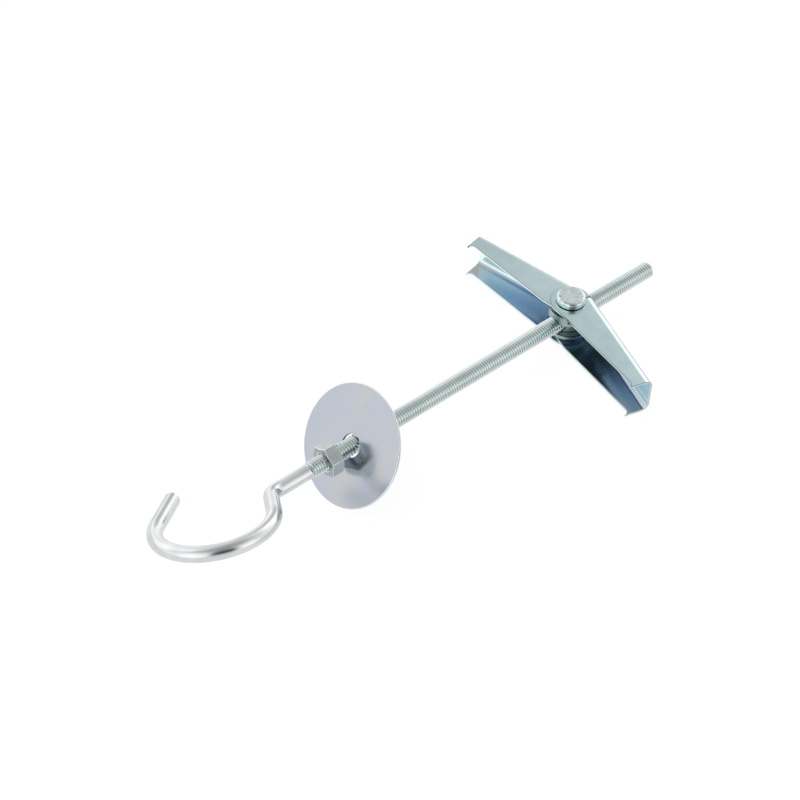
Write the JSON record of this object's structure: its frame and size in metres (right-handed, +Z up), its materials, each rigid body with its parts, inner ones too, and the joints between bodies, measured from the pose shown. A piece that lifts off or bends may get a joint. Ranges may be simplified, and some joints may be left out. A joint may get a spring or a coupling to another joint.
{
  "type": "spring toggle bolt",
  "caption": "Ceiling hook bolt with a sprung toggle: a threaded rod with an open hook, a hex nut, a flat washer and folding wings that spread behind a hollow ceiling.",
  "frame": {"origin": "middle of the bolt's outline on the surface it lies on", "axes": "+X along the bolt from the hook to the rod's free end, +Z up from the surface, +Y to the left wing"},
  "size_m": [0.2098, 0.089, 0.0348],
  "materials": {
    "zinc_rod": "zinc plated steel, satin",
    "zinc_washer": "zinc plated steel, satin, faintly yellow in places",
    "zinc_toggle": "zinc plated steel, glossy, looks dark in its gaps",
    "blue_zinc_sheet": "blue passivated zinc on steel sheet, satin",
    "spring_steel": "plain spring wire"
  },
  "bodies": {
    "rod": {"hook_rod": "zinc_rod"},
    "nut": {"hex_nut": "zinc_rod"},
    "washer": {"washer": "zinc_washer"},
    "toggle": {"toggle_nut": "zinc_toggle", "torsion_spring": "spring_steel"},
    "left_wing": {"left_wing": "blue_zinc_sheet"},
    "right_wing": {"right_wing": "blue_zinc_sheet"}
  },
  "joints": [
    {"name": "toggle_travel", "type": "slide", "parent": "rod", "child": "toggle", "axis": [0.9979, 0, -0.0652], "range_m": [-0.02, 0.03]},
    {"name": "nut_travel", "type": "slide", "parent": "rod", "child": "nut", "axis": [0.9979, 0, -0.0652], "range_m": [-0.005, 0.001]},
    {"name": "washer_slide", "type": "slide", "parent": "rod", "child": "washer", "axis": [0.9979, 0, -0.0652], "range_m": [-0.001, 0.014]},
    {"name": "left_fold", "type": "hinge", "parent": "toggle", "child": "left_wing", "pos_m": [0.06674, -0.00012, 0.01028], "axis": [0.065, 0.0703, 0.9954], "range_deg": [0, 76], "stiffness_Nm_per_rad": 0.06, "springref_deg": -34.38, "deforming": ["torsion_spring"]},
    {"name": "right_fold", "type": "hinge", "parent": "toggle", "child": "right_wing", "pos_m": [0.06674, -0.00012, 0.01028], "axis": [-0.065, -0.0703, -0.9954], "range_deg": [0, 71], "stiffness_Nm_per_rad": 0.06, "springref_deg": -34.38, "deforming": ["torsion_spring"]}
  ]
}
